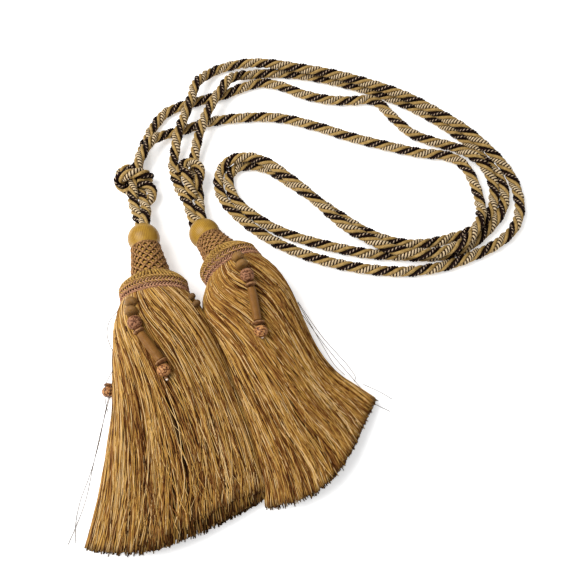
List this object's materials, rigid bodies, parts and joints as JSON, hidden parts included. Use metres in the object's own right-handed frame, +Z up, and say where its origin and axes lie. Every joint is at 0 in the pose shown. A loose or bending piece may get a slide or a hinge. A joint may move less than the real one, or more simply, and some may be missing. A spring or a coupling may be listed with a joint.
{
  "type": "curtain tieback tassel",
  "caption": "Curtain tieback of twisted cord joining yarn tassels with satin balls, netted necks, braided rims and hanging beaded drops; the cord's fold goes over a hook beside the curtain.",
  "frame": {"origin": "on the surface the tieback lies on, under the middle of the box round the tassels and their knots", "axes": "+Z up, -Y toward the cut ends of the tassels, +X toward the side where the cord loops lie"},
  "size_m": [0.369, 0.4613, 0.0582],
  "materials": {
    "cord_yarn": "twisted gold, black and beige rayon cord",
    "gold_satin": "satin thread wound close over a wooden mould",
    "net_thread": "knotted net of fine twisted thread",
    "braid_thread": "braided mauve-brown thread",
    "skirt_yarn": "loose golden brown yarn, cut ends",
    "wound_thread": "thread wound over turned wood",
    "pearl": "pearl lacquer"
  },
  "bodies": {
    "root": {"cord_inner": "cord_yarn", "cord_outer": "cord_yarn", "left_ball": "gold_satin", "left_braid": "braid_thread", "left_cap": "gold_satin", "left_drop_bar": "wound_thread", "left_drop_collar": "wound_thread", "left_drop_end_bead": "wound_thread", "left_drop_flange": "wound_thread", "left_drop_knot_bead": "braid_thread", "left_drop_seed_pearl": "pearl", "left_drop_top_bead": "wound_thread", "left_drop_waist_bead": "wound_thread", "left_inner_bead": "wound_thread", "left_inner_bead_low": "wound_thread", "left_knot": "cord_yarn", "left_neck": "net_thread", "left_side_end_bead": "wound_thread", "left_side_flange": "wound_thread", "left_skirt": "skirt_yarn", "right_ball": "gold_satin", "right_braid": "braid_thread", "right_cap": "gold_satin", "right_drop_bar": "wound_thread", "right_drop_collar": "wound_thread", "right_drop_end_bead": "wound_thread", "right_drop_flange": "wound_thread", "right_drop_knot_bead": "braid_thread", "right_drop_seed_pearl": "pearl", "right_drop_top_bead": "wound_thread", "right_drop_waist_bead": "wound_thread", "right_knot": "cord_yarn", "right_neck": "net_thread", "right_skirt": "skirt_yarn"}
  },
  "joints": []
}
